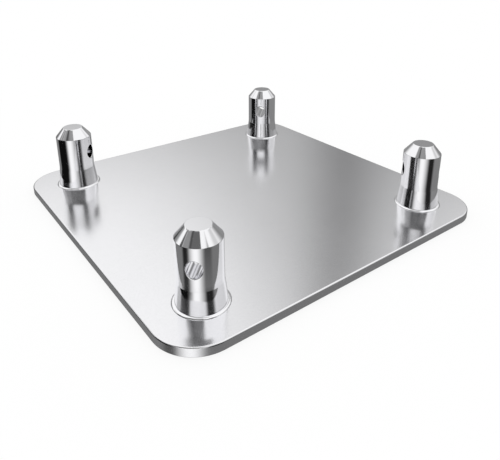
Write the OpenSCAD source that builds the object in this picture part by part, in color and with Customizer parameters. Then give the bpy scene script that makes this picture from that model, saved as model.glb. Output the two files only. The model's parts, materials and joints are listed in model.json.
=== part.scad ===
// Base plate for a square truss: a flat square plate with rounded corners, and
// four turned spigots welded upright on it, one for each tube of the truss.
// The origin is the centre of the plate's underside. +Z is up, and the plate's
// sides lie along X and Y. All lengths are in millimetres.

/* [Plate] */
// How far the plate reaches past the spigots' axes, on each side
plate_margin = 32.5; // [20:0.5:80]
// Thickness of the plate
plate_t = 6; // [4:0.5:12]
// Radius of the plate's rounded corners
corner_r = 26; // [6:1:50]
// Width of the bevel that breaks the plate's upper and lower edges
edge_bevel = 0.6; // [0.2:0.1:1.5]

/* [Spigots] */
// Distance between the axes of neighbouring spigots, as the truss tubes stand
tube_spacing = 185; // [120:1:400]
// Height of a spigot above the plate
spigot_h = 46; // [40:0.5:70]
// Diameter of the straight body, which slips into a tube
body_d = 25.8; // [20:0.1:28.4]
// Diameter of the flared foot where it stands on the plate
foot_d = 29.2; // [26.6:0.1:36]
// Height of the flared foot, up to the straight body
foot_h = 14.2; // [6:0.1:20]
// Height of the lead-in cone on the spigot's nose
nose_h = 6.8; // [3:0.1:12]
// Diameter of the flat tip
tip_d = 14.2; // [6:0.1:24]
// Width of the bevel round the flat tip
tip_bevel = 0.4; // [0.1:0.1:1]

/* [Pin bores] */
// Diameter of the cross bore that takes the locking pin
bore_d = 9.5; // [6:0.1:12]
// Height of the bore's axis above the plate
bore_h = 26.7; // [21:0.1:32]
// Depth of the bevel at each mouth of the bore, from the outermost line of the body
mouth_bevel = 1; // [0.2:0.1:2]

/* [Weld beads] */
// How far a bead reaches out from the foot, along the plate
bead_leg = 1.6; // [0.8:0.1:4]
// How far a bead climbs up the foot
bead_h = 0.9; // [0.6:0.1:4]
// How far the bead's rounded face stands out from a straight line across it
bead_crown = 0.3; // [0.1:0.1:0.5]

/* [Hidden] */
$fn = 96;

// Length of each side of the square plate
plate_side = tube_spacing + 2 * plate_margin;
// The straight stretch of a side, between its two rounded corners
side_flat = plate_side - 2 * corner_r;
body_r = body_d / 2;
foot_r = foot_d / 2;
tip_r = tip_d / 2;
bore_r = bore_d / 2;
// Height at which the straight body ends and the nose cone starts
shoulder_h = spigot_h - nose_h;
// A cut runs this far past the surface that it leaves
past = 1;

// Radius of the flared foot at height z above the plate
function foot_r_at(z) = foot_r - (foot_r - body_r) * z / foot_h;

// Upright section of the plate, reach to each side of its middle, both edges bevelled
module plate_section(reach)
    polygon([
        [-reach + edge_bevel, 0],
        [reach - edge_bevel, 0],
        [reach, edge_bevel],
        [reach, plate_t - edge_bevel],
        [reach - edge_bevel, plate_t],
        [-reach + edge_bevel, plate_t],
        [-reach, plate_t - edge_bevel],
        [-reach, edge_bevel]
    ]);

// A slab from side to side along Y, as long as the straight stretch along X
module slab_across()
    rotate([90, 0, 90])
        linear_extrude(height = side_flat, center = true)
            plate_section(plate_side / 2);

// The disc whose rim rounds one corner
module corner_disc()
    rotate_extrude()
        intersection() {
            plate_section(corner_r);
            square([corner_r, plate_t]);
        }

// The square plate: two crossed slabs and a disc in each corner
module base_plate()
    color("lightgray")
        union() {
            slab_across();
            rotate([0, 0, 90])
                slab_across();
            for (x = [-1, 1], y = [-1, 1])
                translate([x * side_flat / 2, y * side_flat / 2, 0])
                    corner_disc();
        }

// One half of the pin bore, along +X: the bore with its bevelled mouth
module bore_half()
    rotate([0, 90, 0]) {
        cylinder(h = body_r + past, r = bore_r);
        translate([0, 0, body_r - mouth_bevel])
            cylinder(
                h = mouth_bevel + past,
                r1 = bore_r,
                r2 = bore_r + mouth_bevel + past
            );
    }

// A spigot, turned from bar and cross-drilled along X. It stands on z = 0.
module spigot()
    color("silver")
        difference() {
            rotate_extrude()
                polygon([
                    [0, 0],
                    [foot_r, 0],
                    [body_r, foot_h],
                    [body_r, shoulder_h],
                    [tip_r + tip_bevel, spigot_h - tip_bevel],
                    [tip_r, spigot_h],
                    [0, spigot_h]
                ]);
            for (turn = [0, 180])
                translate([0, 0, bore_h])
                    rotate([0, 0, turn])
                        bore_half();
        }

// The weld bead round a spigot's foot: a fillet with a slightly rounded face,
// which fits against the flare of the foot and the top of the plate
module weld_bead() {
    toe = [foot_r + bead_leg, 0];
    top = [foot_r_at(bead_h), bead_h];
    chord = norm(toe - top);
    face_r = (chord * chord / 4 + bead_crown * bead_crown) / (2 * bead_crown);
    outward = [top[1] - toe[1], toe[0] - top[0]] / chord;
    centre = (toe + top) / 2 - outward * (face_r - bead_crown);
    color("whitesmoke")
        rotate_extrude()
            intersection() {
                translate(centre)
                    circle(r = face_r);
                polygon([
                    [foot_r, 0],
                    [toe[0] + past, 0],
                    [toe[0] + past, bead_h + past],
                    [foot_r_at(bead_h + past), bead_h + past]
                ]);
            }
}

// Stands its child on the plate at one corner of the truss, x and y being -1 or 1,
// turned so that its own X axis points away from the plate's centre
module at_corner(x, y)
    translate([x * tube_spacing / 2, y * tube_spacing / 2, plate_t])
        rotate([0, 0, atan2(y, x)])
            children();

base_plate();
at_corner(-1, -1) spigot();  // spigot_front_left
at_corner(1, -1) spigot();  // spigot_front_right
at_corner(-1, 1) spigot();  // spigot_back_left
at_corner(1, 1) spigot();  // spigot_back_right
at_corner(-1, -1) weld_bead();  // weld_front_left
at_corner(1, -1) weld_bead();  // weld_front_right
at_corner(-1, 1) weld_bead();  // weld_back_left
at_corner(1, 1) weld_bead();  // weld_back_right
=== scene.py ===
# %% [markdown]
# # A truss base plate in bright aluminium
#
# The real object is a square aluminium plate that a stage truss stands on. Four spigots, turned from bar
# and drilled across for a locking pin, are welded upright near its corners, and the tubes of the truss
# slip over them. The CAD model holds every size. This lesson gives it its look: edges that catch the
# light, a satin plate, polished spigots, bright weld beads, and the studio that all this metal mirrors.

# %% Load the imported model, which gives the sizes and places
import json
from math import atan2, cos, hypot, pi, radians, sin, tan

import bpy
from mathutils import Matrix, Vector


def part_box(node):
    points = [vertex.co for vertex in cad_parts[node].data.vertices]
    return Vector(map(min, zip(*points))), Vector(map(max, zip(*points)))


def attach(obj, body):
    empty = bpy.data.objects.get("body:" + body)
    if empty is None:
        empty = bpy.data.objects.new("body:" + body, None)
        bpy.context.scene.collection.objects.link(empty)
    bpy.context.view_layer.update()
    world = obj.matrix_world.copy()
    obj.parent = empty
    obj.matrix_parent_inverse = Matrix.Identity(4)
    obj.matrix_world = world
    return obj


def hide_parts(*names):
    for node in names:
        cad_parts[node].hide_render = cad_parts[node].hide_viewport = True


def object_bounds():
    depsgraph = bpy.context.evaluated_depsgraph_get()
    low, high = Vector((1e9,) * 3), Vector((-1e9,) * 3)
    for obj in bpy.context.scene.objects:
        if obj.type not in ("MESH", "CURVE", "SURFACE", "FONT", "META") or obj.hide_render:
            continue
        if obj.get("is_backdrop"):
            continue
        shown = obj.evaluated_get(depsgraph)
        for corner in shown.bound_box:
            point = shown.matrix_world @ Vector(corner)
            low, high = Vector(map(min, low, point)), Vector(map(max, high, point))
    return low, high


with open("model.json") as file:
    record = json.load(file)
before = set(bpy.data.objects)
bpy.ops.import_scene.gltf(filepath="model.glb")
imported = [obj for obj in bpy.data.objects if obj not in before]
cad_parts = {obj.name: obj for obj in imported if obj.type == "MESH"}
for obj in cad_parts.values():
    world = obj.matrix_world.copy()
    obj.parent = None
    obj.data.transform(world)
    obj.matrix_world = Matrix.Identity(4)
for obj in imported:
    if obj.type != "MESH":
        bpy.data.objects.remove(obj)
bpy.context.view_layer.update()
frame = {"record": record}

MM = 0.001

# %% [markdown]
# ## The camera first
#
# A camera can be placed by eye, or worked out from the object's own straight edges and circles. Here it
# was worked out: it stands low over the plate's near left corner and looks down across the diagonal. The
# picture's centre lies below the camera's axis, so the lens is shifted down, as a product photographer
# does to keep the uprights from leaning too much.

# %% Camera
PICTURE = (500, 460)
SENSOR_MM = 36
camera_place = Vector((-0.2089, -0.2922, 0.1832))
look_azimuth = radians(37.22)
look_down = radians(19.43)
focal_pixels = 518.4
axis_pixel = (254.4, 129.0)

lens = bpy.data.cameras.new("camera")
lens.sensor_width = SENSOR_MM
lens.lens = focal_pixels / PICTURE[0] * SENSOR_MM
lens.shift_x = (PICTURE[0] / 2 - axis_pixel[0]) / PICTURE[0]
lens.shift_y = (axis_pixel[1] - PICTURE[1] / 2) / PICTURE[0]
camera = bpy.data.objects.new("camera", lens)
camera.location = camera_place
camera.rotation_euler = (pi / 2 - look_down, 0, -look_azimuth)
bpy.context.scene.collection.objects.link(camera)
bpy.context.scene.camera = camera
bpy.context.scene.view_settings.view_transform = "Standard"
print("lens %.1f mm, shift %.3f %.3f" % (lens.lens, lens.shift_x, lens.shift_y))

# %% [markdown]
# ## Helpers for colours and nodes
#
# A screen colour is written as sRGB hex, and Blender's sockets want linear light, so one function turns
# the one into the other. A second function adds any shader node with its settings and links in one
# statement. An input is given by its name or its number. Numbers are needed where names repeat: a Mix node
# has its two plain values at 2 and 3, and its two colours at 6 and 7.


# %% One function for colours, one for nodes
def linear(hex_colour):
    """sRGB hex, such as "D8D8DA", as a linear RGBA colour."""
    channels = [int(hex_colour[i : i + 2], 16) / 255 for i in (0, 2, 4)]
    return (*[c / 12.92 if c <= 0.04045 else ((c + 0.055) / 1.055) ** 2.4 for c in channels], 1)


def grey(level):
    """A grey written as its sRGB level from 0 to 255, as linear light."""
    return linear("%02X" % level * 3)[0]


def node(tree, kind, links=None, **settings):
    """Adds a shader node. links gives each input, by name or number, a value or another node's output."""
    made = tree.nodes.new("ShaderNode" + kind)
    for key, value in settings.items():
        setattr(made, key, value)
    for key, value in (links or {}).items():
        if isinstance(value, bpy.types.NodeSocket):
            tree.links.new(value, made.inputs[key])
        else:
            made.inputs[key].default_value = value
    return made


def new_material(name):
    """An empty node material and its node tree."""
    material = bpy.data.materials.new(name)
    material.use_nodes = True
    material.node_tree.nodes.clear()
    return material, material.node_tree


print("screen grey 128 is %.3f of white in linear light" % grey(128))

# %% [markdown]
# ## The studio
#
# Polished metal has hardly any colour of its own: what it shows is the room. Panels round it could be
# meshes that glow, but here they are drawn in the world's shader, each by its direction, because that adds
# no noise and each one's place can be reasoned out. A bright or dark band on the metal is followed back
# along the mirrored ray, and the panel goes where that ray leads.
#
# Azimuths are in degrees, 0 along +Y and 90 along +X, and elevations are above the horizon. The camera
# looks along 37, so a panel near 217 stands behind it. The panels are painted in this order, each over the
# ones before it, and each fades out over the softness given for its sides, its foot and its top.

# %% The panels
# The grey of any direction that no panel covers
ROOM = 138
# A foot or top beyond straight down or straight up leaves that end open
ALL_ROUND = (0, 360, 1)
FROM_BELOW = (-200, 1)
TO_THE_TOP = (200, 1)
# name: (azimuth, half width, softness), (lowest, softness), (highest, softness), grey level
PANELS = {
    "white ceiling": (ALL_ROUND, (19, 22), TO_THE_TOP, 255),
    "pale grey straight overhead": (ALL_ROUND, (77, 10), TO_THE_TOP, 208),
    "grey floor": (ALL_ROUND, FROM_BELOW, (-22, 20), 118),
    "dark space under the bench": (ALL_ROUND, FROM_BELOW, (-54, 8), 25),
    "dark skirting on the right": ((124, 32, 10), (-6, 3), (5, 5), 10),
    "dark skirting on the left": ((336, 16, 8), (-13, 4), (4, 5), 10),
    "pale card behind": ((47, 17, 30), (0, 20), (42, 44), 184),
    "white card high on its left": ((18, 15, 18), (33, 14), (90, 10), 255),
    "low dark card behind": ((39, 10, 6), (11, 3), (17.5, 2), 150),
    "low dark card on its right": ((61, 10, 6), (11, 3), (22, 3), 148),
    "dark strip behind": ((48, 3, 8), (-5, 10), (60, 10), 128),
    "left end of the grey ceiling": ((277, 12, 12), (31, 3), (68, 4), 150),
    "grey ceiling over the camera": ((236, 34, 5), (31, 3), (68, 4), 155),
    "darker edge of the grey ceiling": ((236, 34, 5), (31, 3), (56, 8), 102),
    "right end of the grey ceiling": ((191, 27, 10), (30, 3), (44.5, 3), 88),
    "dark seam in the grey ceiling": ((258, 6, 8), (31, 3), (68, 4), 80),
    "grey card on the right": ((118, 32, 20), (26, 7), (36, 7), 214),
    "dark gap on the right": ((173, 18, 18), (-33, 14), (34.5, 4), 34),
    "dark gap on the left": ((290, 31, 12), (-42, 28), (31.5, 3), 16),
    "grey floor on the left": ((314, 22, 16), FROM_BELOW, (-30.5, 2), 122),
    "white card on the left": ((320, 14, 6), (16, 8), (28, 3), 255),
    "grey card over the white card": ((316, 16, 8), (28, 2), (32.5, 2), 130),
    "grey card over the left gap": ((283, 22, 8), (32, 2), (42, 3), 145),
    "pale card at its far end": ((315, 14, 14), (33, 3), (37, 3), 190),
    "front softbox": ((229, 23.5, 42), FROM_BELOW, (29, 3), 255),
    "low dark flag beside the softbox": ((268, 18, 26), (-25, 4), (-4, 8), 16),
    "high dark flag beside the softbox": ((271, 13, 26), (-4, 8), (24, 4), 16),
}
print("studio panels:", len(PANELS))

# %% [markdown]
# A panel's sides are found from the angle between a ray's level heading and the panel's middle, and its
# foot and top from the ray's height. Three smooth steps multiplied together make its mask. The world isn't
# sampled as a lamp: its panels are soft enough for the mirrored rays to find by themselves.

# %% Paint the panels one over the other
world = bpy.data.worlds.new("studio")
world.use_nodes = True
world.cycles.sampling_method = "NONE"
bpy.context.scene.world = world
tree = world.node_tree
tree.nodes.clear()
direction = node(tree, "TexCoord").outputs["Generated"]
split = node(tree, "SeparateXYZ", {0: direction}).outputs
level_part = node(tree, "CombineXYZ", {0: split[0], 1: split[1]}).outputs[0]
heading = node(tree, "VectorMath", {0: level_part}, operation="NORMALIZE").outputs[0]
height = node(tree, "Math", {0: split[2]}, operation="ARCSINE").outputs[0]
light = grey(ROOM)
for (azimuth, half, side_soft), (low, low_soft), (high, high_soft), level in PANELS.values():
    middle = (sin(radians(azimuth)), cos(radians(azimuth)), 0)
    cosine = node(tree, "VectorMath", {0: heading, 1: middle}, operation="DOT_PRODUCT").outputs["Value"]
    turn = node(tree, "Math", {0: cosine}, operation="ARCCOSINE").outputs[0]
    mask = 1.0
    for angle, outside, inside in (
        (turn, half + side_soft / 2, half - side_soft / 2),
        (height, low - low_soft / 2, low + low_soft / 2),
        (height, high + high_soft / 2, high - high_soft / 2),
    ):
        step = node(
            tree,
            "MapRange",
            {"Value": angle, "From Min": radians(outside), "From Max": radians(inside)},
            interpolation_type="SMOOTHSTEP",
        )
        mask = node(tree, "Math", {0: mask, 1: step.outputs[0]}, operation="MULTIPLY").outputs[0]
    light = node(tree, "Mix", {0: mask, 2: light, 3: grey(level)}).outputs[0]
print("nodes that draw the studio:", len(tree.nodes))

# %% [markdown]
# Only mirrored rays see the panels. The camera sees plain white round the object, and so do the rays that
# light the floor, which keeps the shadow even and as faint as in a white room.

# %% Plain white for every other ray
path = node(tree, "LightPath").outputs
plain = node(tree, "Math", {0: path["Is Camera Ray"], 1: path["Is Diffuse Ray"]}, operation="MAXIMUM")
light = node(tree, "Mix", {0: plain.outputs[0], 2: light, 3: 1.0}).outputs[0]
background = node(tree, "Background", {"Color": light, "Strength": 1.0})
node(tree, "OutputWorld", {0: background.outputs[0]})
print("world:", world.name)

# %% [markdown]
# ## The floor
#
# White paper. A backdrop could curve up behind the object, but a flat sheet that fades out does the same
# with four corners. Near the plate a part of it is real paper, which takes the soft shadow, and the rest
# glows white. Further out all of it glows, so that the object stands on nothing but light. Mirrored rays
# pass through it and see the studio, which hides its edge.

# %% The floor's sheet
FLOOR_SIDE = 40
FLOOR_GAP = 0.1 * MM
floor_half = FLOOR_SIDE / 2
corners = [(x * floor_half, y * floor_half, -FLOOR_GAP) for x, y in ((-1, -1), (1, -1), (1, 1), (-1, 1))]
floor_mesh = bpy.data.meshes.new("floor")
floor_mesh.from_pydata(corners, [], [(0, 1, 2, 3)])
floor = bpy.data.objects.new("floor", floor_mesh)
bpy.context.scene.collection.objects.link(floor)
floor.visible_glossy = False
floor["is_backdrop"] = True
print("floor %.0f m wide, %.1f mm under the plate" % (FLOOR_SIDE, FLOOR_GAP / MM))

# %% The floor's paper, and where it fades out
# Distances from the middle of the plate, in metres
FADE_START = 0.16
FADE_END = 0.4
GLOW_NEAR_THE_PLATE = 0.82
white_paper, tree = new_material("white_paper")
paper = node(tree, "BsdfDiffuse", {"Color": linear("FFFFFF")})
glow = node(tree, "Emission", {"Color": linear("FFFFFF"), "Strength": 1.0})
place = node(tree, "TexCoord").outputs["Object"]
distance = node(tree, "VectorMath", {0: place}, operation="LENGTH").outputs["Value"]
fade = node(
    tree,
    "MapRange",
    {
        "Value": distance,
        "From Min": FADE_START,
        "From Max": FADE_END,
        "To Min": GLOW_NEAR_THE_PLATE,
        "To Max": 1.0,
    },
    interpolation_type="SMOOTHSTEP",
).outputs[0]
camera_sees = node(tree, "LightPath").outputs["Is Camera Ray"]
fade = node(tree, "Math", {0: fade, 1: camera_sees}, operation="MULTIPLY").outputs[0]
surface = node(tree, "MixShader", {0: fade, 1: paper.outputs[0], 2: glow.outputs[0]})
node(tree, "OutputMaterial", {"Surface": surface.outputs[0]})
floor_mesh.materials.append(white_paper)
print("shadow fades out between %.0f and %.0f mm from the middle" % (FADE_START / MM, FADE_END / MM))

# %% [markdown]
# ## Sizes
#
# The frame gives the plate's box, each spigot's box and the mounts: the body's radius, the bore's radius
# and the bore's height. The few sizes that no box or mount states are written here as they are in the CAD
# source.

# %% Sizes in millimetres
plate_low, plate_high = [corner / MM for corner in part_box("base_plate")]
spigot_low, spigot_high = [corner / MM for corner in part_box("spigot_front_left")]
mounts = {mount["name"]: mount for mount in frame["record"]["mounts"]}

plate_half = (plate_high.x - plate_low.x) / 2
plate_top = plate_high.z
corner_r = 26.0
edge_bevel = 0.6
spigot_h = spigot_high.z - spigot_low.z
foot_r = (spigot_high.x - spigot_low.x) / 2
body_r = mounts["spigots"]["dims"]["stud_r_mm"]
foot_h = 14.2
nose_h = 6.8
tip_r = 7.1
tip_bevel = 0.4
bore_r = mounts["pin_bore_front_left"]["dims"]["r_mm"]
bore_h = mounts["pin_bore_front_left"]["pos_m"][2] / MM - plate_top
mouth_bevel = 1.0
bead_leg = 1.6
bead_h = 0.9
bead_crown = 0.3
print("plate %.1f x %.1f mm, spigot %.1f x %.1f mm" % (2 * plate_half, plate_top, 2 * body_r, spigot_h))

# %% [markdown]
# ## Edges that catch the light
#
# No machined edge is perfectly sharp, and on bright metal the tiny rounding shows as a white or dark line.
# A bevel modifier could round the edges, but it shades the wide faces beside them unevenly, and a mirror
# shows that at once. So each outline is rounded here by arithmetic, and every point keeps the tilt of its
# surface, from which the exact normal follows.


# %% Round the corners of an outline, and keep each point's tilt
def rounded(corners, radii, steps=5):
    """Points (x, z, tilt) along an outline, its inner corners made arcs. Tilt is the normal's elevation."""
    tilts = [atan2(x0 - x1, z1 - z0) for (x0, z0), (x1, z1) in zip(corners, corners[1:])]
    points = [(*corners[0], tilts[0])]
    for (x, z), radius, before, after in zip(corners[1:-1], radii, tilts, tilts[1:]):
        reach = radius * tan(abs(after - before) / 2)
        inward = radius if after > before else -radius
        start_x = x + reach * sin(before)
        start_z = z - reach * cos(before)
        centre_x = start_x - inward * cos(before)
        centre_z = start_z - inward * sin(before)
        for i in range(steps + 1):
            tilt = before + (after - before) * i / steps
            points.append((centre_x + inward * cos(tilt), centre_z + inward * sin(tilt), tilt))
    points.append((*corners[-1], tilts[-1]))
    return points


print("a square corner rounded by 1 mm takes", len(rounded([(5, 0), (5, 5), (0, 5)], [1.0])), "points")

# %% [markdown]
# Every piece here is a stack of rings, and one function skins them all. A second one gives each face corner
# its exact normal, because normals worked out from the faces would bend what the metal mirrors.


# %% Skin a mesh over rings of points, and give it exact normals
def lofted(name, rings, close_low=True, close_high=True):
    """A mesh skinned over rings of points in mm, closed round each ring and, if asked, over both ends."""
    count = len(rings[0])
    faces = []
    for k in range(len(rings) - 1):
        for i in range(count):
            j = (i + 1) % count
            faces.append((k * count + i, k * count + j, (k + 1) * count + j, (k + 1) * count + i))
    if close_low:
        faces.append(tuple(reversed(range(count))))
    if close_high:
        faces.append(tuple(range((len(rings) - 1) * count, len(rings) * count)))
    mesh = bpy.data.meshes.new(name)
    mesh.from_pydata([tuple(v * MM for v in point) for ring in rings for point in ring], [], faces)
    return mesh


def give_normals(mesh, normal_of):
    """Gives each face corner the exact normal of the true form, from normal_of(face, vertex)."""
    mesh.polygons.foreach_set("use_smooth", [True] * len(mesh.polygons))
    normals = []
    for face in mesh.polygons:
        normals += [normal_of(face, mesh.vertices[v]) for v in face.vertices]
    mesh.normals_split_custom_set(normals)


def tilted(x, y, tilt):
    """A unit vector over the level heading (x, y), tilted up."""
    size = hypot(x, y) or 1.0
    return (x / size * cos(tilt), y / size * cos(tilt), sin(tilt))


print("a normal along +X, tilted up by 30 degrees:", [round(v, 3) for v in tilted(1, 0, radians(30))])

# %% [markdown]
# ## The plate
#
# The real one is cut from rolled sheet, and its edges are broken with a file or a router before it is
# blasted fine. It could be a box with a bevel, but its edges need exact normals, so it is a stack of
# rings, each the plate's rounded square drawn in by the edge's profile. Handling wears the upper edges
# most, so they are rounded more than the lower ones, and that gives the near corner its bright line.

# %% The plate's edge, from the lower face round to the upper one
EDGE_STEPS = 8
FACE_RIM = 1.0
LOWER_ROUNDING = 0.3
WALL_ROUNDING = 0.8
FACE_ROUNDING = 1.1
bevel_inside = plate_half - edge_bevel
edge_profile = rounded(
    [
        (bevel_inside - FACE_RIM, 0),
        (bevel_inside, 0),
        (plate_half, edge_bevel),
        (plate_half, plate_top - edge_bevel),
        (bevel_inside, plate_top),
        (bevel_inside - FACE_RIM, plate_top),
    ],
    [LOWER_ROUNDING, LOWER_ROUNDING, WALL_ROUNDING, FACE_ROUNDING],
    steps=EDGE_STEPS,
)
print("plate's edge:", len(edge_profile), "points")

# %% The plate's mesh
CORNER_STEPS = 24
# A face whose normal is this near to straight up or down is one of the flat ones
FLAT = 0.999


def corner_headings():
    """Heading of each point round the plate, corner by corner: (corner signs, cosine, sine)."""
    for quarter, signs in enumerate(((1, 1), (-1, 1), (-1, -1), (1, -1))):
        for i in range(CORNER_STEPS + 1):
            turn = pi / 2 * (quarter + i / CORNER_STEPS)
            yield signs, cos(turn), sin(turn)


headings = list(corner_headings())
straight_half = plate_half - corner_r
rings = []
for x, z, _ in edge_profile:
    r = corner_r - (plate_half - x)
    ring = [(sx * straight_half + r * c, sy * straight_half + r * s, z) for (sx, sy), c, s in headings]
    rings.append(ring)
plate_mesh = lofted("base_plate", rings)


def plate_normal(face, vertex):
    """Up and down on the two faces, and the edge's own normal round it."""
    if abs(face.normal.z) > FLAT:
        return (0, 0, 1 if face.normal.z > 0 else -1)
    ring, step = divmod(vertex.index, len(headings))
    _, c, s = headings[step]
    return tilted(c, s, edge_profile[ring][2])


give_normals(plate_mesh, plate_normal)
plate = bpy.data.objects.new("plate", plate_mesh)
bpy.context.scene.collection.objects.link(plate)
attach(plate, "root")
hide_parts("base_plate")
print("plate:", len(plate_mesh.polygons), "faces")

# %% [markdown]
# ## The spigots
#
# Each is turned from bar: a flared foot, a straight body, a cone that leads the tube on, and a flat tip. The
# pin's bore is drilled across, with a bevelled mouth on each side. The outline could be spun with a screw
# modifier, but rings of points keep each one's tilt. A turning tool leaves no hard line where the flare
# meets the body, so the body swells there by a twentieth of a millimetre and is blended out over the next
# 1.6 mm.

# %% The spigot's outline, from the foot up to the tip
ROUND_STEPS = 192
WAIST_SWELL = 0.05
WAIST_BLEND = 1.6
FLARE_ROUNDING = 1.0
WAIST_ROUNDING = 90.0
SHOULDER_ROUNDING = 0.35
CONE_ROUNDING = 0.4
TIP_ROUNDING = 0.25
# The innermost ring of the tip is this small, and a face closes it
TIP_CENTRE = 0.01
spigot_profile = rounded(
    [
        (foot_r, 0),
        (body_r + WAIST_SWELL, foot_h),
        (body_r, foot_h + WAIST_BLEND),
        (body_r, spigot_h - nose_h),
        (tip_r + tip_bevel, spigot_h - tip_bevel),
        (tip_r, spigot_h),
        (TIP_CENTRE, spigot_h),
    ],
    [FLARE_ROUNDING, WAIST_ROUNDING, SHOULDER_ROUNDING, CONE_ROUNDING, TIP_ROUNDING],
)
tilt_at_height = [(z, tilt) for _, z, tilt in spigot_profile]


def spun(profile, steps):
    """Rings of points round Z for a profile of (radius, height, tilt)."""
    turns = [2 * pi * i / steps for i in range(steps)]
    return [[(x * cos(turn), x * sin(turn), z) for turn in turns] for x, z, _ in profile]


blank_mesh = lofted("spigot_blank", spun(spigot_profile, ROUND_STEPS))
print("spigot's outline:", len(spigot_profile), "points")

# %% [markdown]
# The bore is cut with a boolean, as a drill does it. The two finishes are made first, still empty, because
# the cut passes them on: every face that the cutter leaves behind gets the cutter's own finish.

# %% The cutter
BORE_STEPS = 96
# The cutter runs this far out past the body
CUT_PAST = 1.0
TURNED, BORED = 0, 1
polished, polished_tree = new_material("turned_and_polished_aluminium")
reamed, reamed_tree = new_material("reamed_aluminium_bore")


def pin_cutter():
    """The bore with its two bevelled mouths, along X, as a solid to cut away."""
    start = body_r - mouth_bevel
    end = body_r + CUT_PAST
    wide = bore_r + mouth_bevel + CUT_PAST
    rings = spun([(wide, -end, 0), (bore_r, -start, 0), (bore_r, start, 0), (wide, end, 0)], BORE_STEPS)
    return lofted("pin_cutter", [[(z, y, bore_h + x) for x, y, z in ring] for ring in rings])


cutter_mesh = pin_cutter()
cutter_mesh.flip_normals()
for mesh in (blank_mesh, cutter_mesh):
    mesh.materials.append(polished)
    mesh.materials.append(reamed)
cutter_mesh.polygons.foreach_set("material_index", [BORED] * len(cutter_mesh.polygons))
print("cutter:", len(cutter_mesh.polygons), "faces")

# %% Cut the bore
blank = bpy.data.objects.new("blank", blank_mesh)
cutter = bpy.data.objects.new("cutter", cutter_mesh)
for solid in (blank, cutter):
    bpy.context.scene.collection.objects.link(solid)
cut = blank.modifiers.new("bore", "BOOLEAN")
cut.object = cutter
cut.operation = "DIFFERENCE"
cut.solver = "EXACT"
cut.material_mode = "INDEX"
bpy.context.view_layer.update()
evaluated = blank.evaluated_get(bpy.context.evaluated_depsgraph_get())
spigot_mesh = bpy.data.meshes.new_from_object(evaluated)
spigot_mesh.name = "spigot"
for solid in (blank, cutter):
    bpy.data.objects.remove(solid)
for mesh in (blank_mesh, cutter_mesh):
    bpy.data.meshes.remove(mesh)
bored_faces = sum(face.material_index == BORED for face in spigot_mesh.polygons)
print("spigot:", len(spigot_mesh.polygons), "faces,", bored_faces, "of them in the bore")

# %% [markdown]
# The cut leaves many small faces round the mouth, whose own normals would show as facets. So the normals
# are worked out again from the form: on the turned skin from the height, and in the bore from the bore's
# axis. The bevelled mouth turns from the bore's normal on its inner rim to the body's on its outer one.

# %% Exact normals for the spigot
# A point is on the bore's wall if it is no further than this outside its radius
WALL_TOLERANCE = 0.01
# Stands in for the width of a step that has none, so that nothing is divided by zero
TINY = 1e-9


def between(value, pairs):
    """Reads a rising table of (place, value) pairs at a place, in a straight line between two of them."""
    for (place_0, value_0), (place_1, value_1) in zip(pairs, pairs[1:]):
        if value <= place_1:
            share = (value - place_0) / max(place_1 - place_0, TINY)
            return value_0 + (value_1 - value_0) * max(0.0, share)
    return pairs[-1][1]


def spigot_normal(face, vertex):
    """The exact normal of the turned skin or of the bore at a vertex."""
    point = vertex.co / MM
    if face.material_index == BORED:
        away = Vector((0, point.y, point.z - bore_h))
        if away.length < bore_r + WALL_TOLERANCE:
            return -away.normalized()
        return tilted(point.x, point.y, 0)
    if abs(face.normal.z) > FLAT:
        return (0, 0, 1 if face.normal.z > 0 else -1)
    return tilted(point.x, point.y, between(point.z, tilt_at_height))


give_normals(spigot_mesh, spigot_normal)
print("spigot: exact normals at", len(spigot_mesh.loops), "face corners")

# %% [markdown]
# ## The weld beads
#
# One pass of weld runs round each foot. Its face could be a torus, but a bead is flatter than that: a
# shallow arc from the plate up to the foot, which bulges out from the straight line between the two by its
# crown.

# %% Weld bead mesh
BEAD_STEPS = 192
ARC_STEPS = 10
# The bead's skin runs on into the foot by this much, so that no slit shows beside it
BEAD_OVERLAP = 0.05
toe = Vector((foot_r + bead_leg, 0))
crest = Vector((foot_r - (foot_r - body_r) * bead_h / foot_h, bead_h))
chord = (crest - toe).length
face_r = (chord**2 / 4 + bead_crown**2) / (2 * bead_crown)
outward = Vector((crest.y - toe.y, toe.x - crest.x)).normalized()
arc_centre = (toe + crest) / 2 - outward * (face_r - bead_crown)
first_tilt, last_tilt = [atan2((p - arc_centre).y, (p - arc_centre).x) for p in (toe, crest)]
bead_profile = [(foot_r - BEAD_OVERLAP, 0, 0)]
for i in range(ARC_STEPS + 1):
    tilt = first_tilt + (last_tilt - first_tilt) * i / ARC_STEPS
    bead_profile.append((arc_centre.x + face_r * cos(tilt), arc_centre.y + face_r * sin(tilt), tilt))
bead_profile.append((crest.x - BEAD_OVERLAP, crest.y, 0))
bead_mesh = lofted("weld_bead", spun(bead_profile, BEAD_STEPS), close_low=False, close_high=False)
bead_mesh.polygons.foreach_set("use_smooth", [True] * len(bead_mesh.polygons))
print("weld bead:", len(bead_mesh.polygons), "faces, on an arc of %.2f mm radius" % face_r)

# %% [markdown]
# ## One at each corner
#
# All four spigots share one mesh, and all four beads another. Each stands at the middle of the box that
# the CAD model gives it, turned so that its bore points away from the plate's centre.

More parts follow.
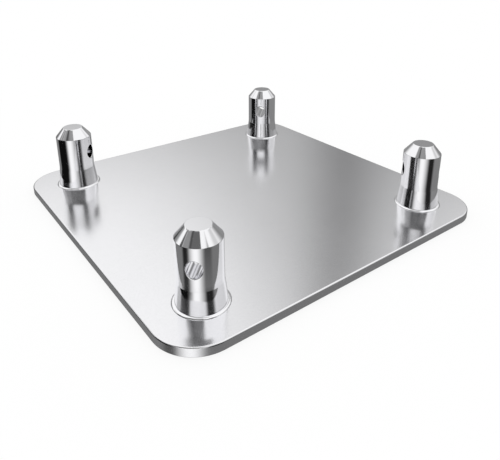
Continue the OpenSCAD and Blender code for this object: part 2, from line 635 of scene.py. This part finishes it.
# %% Stand a spigot and its bead at each corner
CORNERS = ("front_left", "front_right", "back_left", "back_right")
for corner in CORNERS:
    low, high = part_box("spigot_" + corner)
    centre = (low + high) / 2
    for kind, mesh, slot in (("spigot", spigot_mesh, "spigot"), ("weld", bead_mesh, "weld")):
        piece = bpy.data.objects.new(kind + "_piece_" + corner, mesh)
        piece.location = (centre.x, centre.y, plate_top * MM)
        piece.rotation_euler = (0, 0, atan2(centre.y, centre.x))
        bpy.context.scene.collection.objects.link(piece)
        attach(piece, "root")
        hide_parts(kind + "_" + corner)
    print("spigot and bead at %.1f, %.1f mm" % (centre.x / MM, centre.y / MM))

# %% [markdown]
# ## Finishes
#
# All three parts are bare aluminium. What sets them apart is the tool that touched them last. Pictures of
# real metal could be wrapped round them, but patterns made by nodes need no picture and keep their size, and
# a bump node draws fine relief without a face more. Patterns are sized in millimetres of the real object,
# and a texture's scale is one over that size in metres.


# %% Pattern helpers
def per_metre(size_mm):
    """The scale of a noise whose blotches are about this many millimetres wide."""
    return 1 / (size_mm * MM)


def rings_per_metre(pitch_mm):
    """The scale of a band wave with this pitch. A band wave of scale 1 repeats every tenth of pi."""
    return pi / 10 / (pitch_mm * MM)


print("scales for 1 mm: noise %.0f, wave %.0f" % (per_metre(1), rings_per_metre(1)))

# %% [markdown]
# ### The plate: fine blasted aluminium
#
# Glass beads leave dimples of a tenth of a millimetre, and the eye sees satin: the spigots and the studio
# show in it as soft shapes. The shader's roughness gives that blur. The dimples are too fine to show in a
# picture of the whole plate, so they are drawn coarser here, 0.8 mm wide, and so shallow that they only
# stir the surface. Two soft clouds, 45 mm and 7 mm wide, change the blur as an uneven pass of the gun
# does. Clouds and dimples together give the tone its faint speckle.

# %% Plate finish
CLOUD_MM = 45
PATCH_MM = 7
DIMPLE_MM = 0.8
DIMPLE_DEPTH = 0.0015 * MM
PATCH_SHARE = 0.4
DIMPLE_SHARE = 0.6
satin, tree = new_material("fine_blasted_aluminium")
place = node(tree, "TexCoord").outputs["Object"]
cloud = node(tree, "TexNoise", {"Vector": place, "Scale": per_metre(CLOUD_MM), "Detail": 2.0}).outputs[0]
patch = node(tree, "TexNoise", {"Vector": place, "Scale": per_metre(PATCH_MM), "Detail": 3.0}).outputs[0]
dimples = node(tree, "TexNoise", {"Vector": place, "Scale": per_metre(DIMPLE_MM), "Detail": 2.0}).outputs[0]
uneven = node(tree, "Mix", {0: PATCH_SHARE, 2: cloud, 3: patch}).outputs[0]
speckle = node(tree, "Mix", {0: DIMPLE_SHARE, 2: uneven, 3: dimples}).outputs[0]
tone = node(
    tree, "Mix", {0: speckle, 6: linear("ECECEE"), 7: linear("FCFCFE")}, data_type="RGBA"
).outputs[2]
blur = node(tree, "MapRange", {"Value": uneven, "To Min": 0.165, "To Max": 0.195}).outputs[0]
bumps = node(tree, "Bump", {"Height": dimples, "Distance": DIMPLE_DEPTH, "Strength": 1.0}).outputs[0]
shader = node(
    tree,
    "BsdfPrincipled",
    {"Base Color": tone, "Metallic": 1.0, "Roughness": blur, "Normal": bumps},
)
node(tree, "OutputMaterial", {"Surface": shader.outputs[0]})
plate_mesh.materials.append(satin)
print(satin.name, "on", plate.name)

# %% [markdown]
# ### The spigots: turned and polished aluminium
#
# The lathe leaves a ring for every turn of the work, and polishing wears the rings down without losing
# them, so the eye sees a sharp mirror that is a little combed. Height minus radius grows steadily along
# the whole outline, up the skin and in across the tip, so a wave along it draws rings everywhere. The real
# pitch is about 0.2 mm, too fine to show, and it is drawn as 0.7 mm. Wear in blotches of 3 mm makes the
# polish uneven.

# %% Spigot finish
LATHE_PITCH_MM = 0.7
LATHE_DEPTH = 0.0006 * MM
WEAR_MM = 3
WEAR_SHARE = 0.5
tree = polished_tree
place = node(tree, "TexCoord").outputs["Object"]
split = node(tree, "SeparateXYZ", {0: place}).outputs
level_part = node(tree, "CombineXYZ", {0: split[0], 1: split[1]}).outputs[0]
radius = node(tree, "VectorMath", {0: level_part}, operation="LENGTH").outputs["Value"]
along = node(tree, "Math", {0: split[2], 1: radius}, operation="SUBTRACT").outputs[0]
along = node(tree, "CombineXYZ", {0: along}).outputs[0]
grooves = node(
    tree,
    "TexWave",
    {
        "Vector": along,
        "Scale": rings_per_metre(LATHE_PITCH_MM),
        "Distortion": 1.5,
        "Detail": 2.0,
        "Detail Scale": 3.0,
    },
).outputs[1]
wear = node(tree, "TexNoise", {"Vector": place, "Scale": per_metre(WEAR_MM), "Detail": 4.0}).outputs[0]
mixed = node(tree, "Mix", {0: WEAR_SHARE, 2: grooves, 3: wear}).outputs[0]
blur = node(tree, "MapRange", {"Value": mixed, "To Min": 0.04, "To Max": 0.10}).outputs[0]
bumps = node(tree, "Bump", {"Height": grooves, "Distance": LATHE_DEPTH, "Strength": 1.0}).outputs[0]
shader = node(
    tree,
    "BsdfPrincipled",
    {"Base Color": linear("F6F6F8"), "Metallic": 1.0, "Roughness": blur, "Normal": bumps},
)
node(tree, "OutputMaterial", {"Surface": shader.outputs[0]})
print(polished.name, "in slot", TURNED, "of the spigots")

# %% [markdown]
# ### The bores: reamed aluminium
#
# A reamer leaves rings across the bore's own axis, and nobody polishes there. The eye sees them as stripes
# in the near bore. The real ones are about 0.2 mm apart, too fine to show, so they are drawn 0.9 mm apart
# and deeper than the lathe's.

# %% Bore finish
REAMER_PITCH_MM = 0.9
REAMER_DEPTH = 0.0008 * MM
tree = reamed_tree
place = node(tree, "TexCoord").outputs["Object"]
split = node(tree, "SeparateXYZ", {0: place}).outputs
along = node(tree, "CombineXYZ", {0: split[0]}).outputs[0]
grooves = node(
    tree, "TexWave", {"Vector": along, "Scale": rings_per_metre(REAMER_PITCH_MM), "Distortion": 1.0}
).outputs[1]
blur = node(tree, "MapRange", {"Value": grooves, "To Min": 0.035, "To Max": 0.07}).outputs[0]
bumps = node(tree, "Bump", {"Height": grooves, "Distance": REAMER_DEPTH, "Strength": 1.0}).outputs[0]
shader = node(
    tree,
    "BsdfPrincipled",
    {"Base Color": linear("F6F6F8"), "Metallic": 1.0, "Roughness": blur, "Normal": bumps},
)
node(tree, "OutputMaterial", {"Surface": shader.outputs[0]})
print(reamed.name, "in slot", BORED, "of the spigots")

# %% [markdown]
# ### The beads: bright aluminium weld
#
# A weld pool freezes in small steps as the torch goes round, which leaves ripples about 1.6 mm apart, and
# the eye sees a bright ring that glitters a little. A wave along the way round the foot draws the ripples
# at their real size. A thin haze from the torch dulls the bead in patches of 4 mm.

# %% Weld finish
RIPPLE_PITCH_MM = 1.6
RIPPLE_DEPTH = 0.008 * MM
HAZE_MM = 4
bright, tree = new_material("bright_aluminium_weld")
place = node(tree, "TexCoord").outputs["Object"]
split = node(tree, "SeparateXYZ", {0: place}).outputs
turn = node(tree, "Math", {0: split[1], 1: split[0]}, operation="ARCTAN2").outputs[0]
round_foot = node(tree, "Math", {0: turn, 1: foot_r * MM}, operation="MULTIPLY").outputs[0]
round_foot = node(tree, "CombineXYZ", {0: round_foot, 1: split[2]}).outputs[0]
ripples = node(
    tree, "TexWave", {"Vector": round_foot, "Scale": rings_per_metre(RIPPLE_PITCH_MM), "Distortion": 2.0}
).outputs[1]
haze = node(tree, "TexNoise", {"Vector": place, "Scale": per_metre(HAZE_MM), "Detail": 3.0}).outputs[0]
blur = node(tree, "MapRange", {"Value": haze, "To Min": 0.07, "To Max": 0.14}).outputs[0]
bumps = node(tree, "Bump", {"Height": ripples, "Distance": RIPPLE_DEPTH, "Strength": 1.0}).outputs[0]
shader = node(
    tree,
    "BsdfPrincipled",
    {"Base Color": linear("FAFAFC"), "Metallic": 1.0, "Roughness": blur, "Normal": bumps},
)
node(tree, "OutputMaterial", {"Surface": shader.outputs[0]})
bead_mesh.materials.append(bright)
print(bright.name, "on the beads")

# %% [markdown]
# ## Last, the dressed box
#
# Dressing the model mustn't change its size, so the dressed box is printed.

# %% Print the dressed box, and finish
bpy.context.view_layer.update()
low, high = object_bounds()
print("visual box in mm:", [round(v / MM, 1) for v in (*low, *high)])
